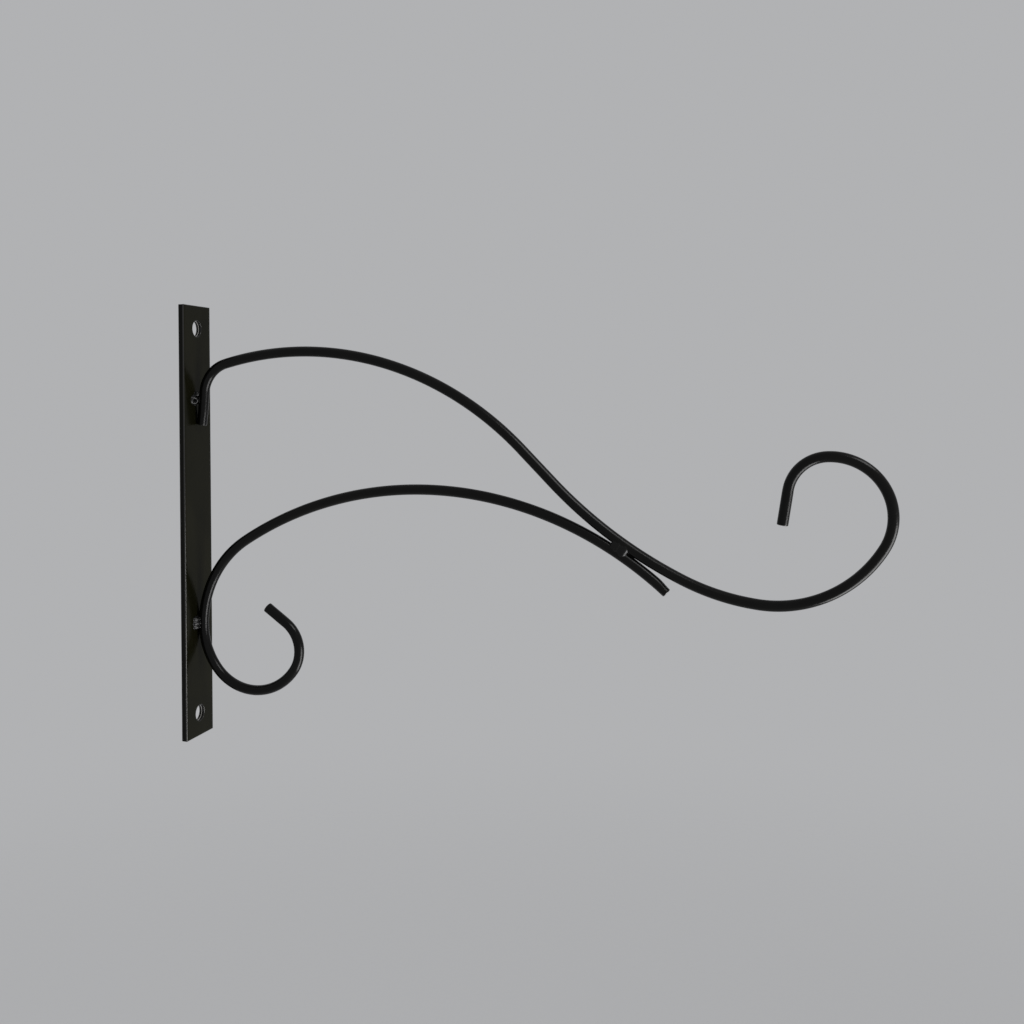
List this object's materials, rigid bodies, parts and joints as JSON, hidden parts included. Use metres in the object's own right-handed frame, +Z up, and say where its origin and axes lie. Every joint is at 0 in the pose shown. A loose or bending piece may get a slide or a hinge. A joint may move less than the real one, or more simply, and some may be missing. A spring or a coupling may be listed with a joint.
{
  "type": "wall plant hook",
  "caption": "Wall bracket for a hanging plant: a drilled flat plate, a bent round bar that ends in an open hook, and a scrolled brace welded between them.",
  "frame": {"origin": "the middle of the wall plate's back face, midway between the screw holes", "axes": "+X points straight out from the wall along the arm, +Y runs across the plate's width, +Z is up along the plate; both bars lie in the plane Y = 0"},
  "size_m": [0.337, 0.025, 0.216],
  "materials": {
    "plate_coat": "satin black powder coat on flat steel strip",
    "bar_coat": "satin black powder coat on round steel bar",
    "weld_coat": "black powder coat pooled over a weld bead, slightly glossier"
  },
  "bodies": {
    "root": {"wall_plate": "plate_coat", "hook_arm": "bar_coat", "scroll_brace": "bar_coat", "upper_plate_weld": "weld_coat", "lower_plate_weld": "weld_coat", "arm_brace_weld": "weld_coat"}
  },
  "joints": []
}
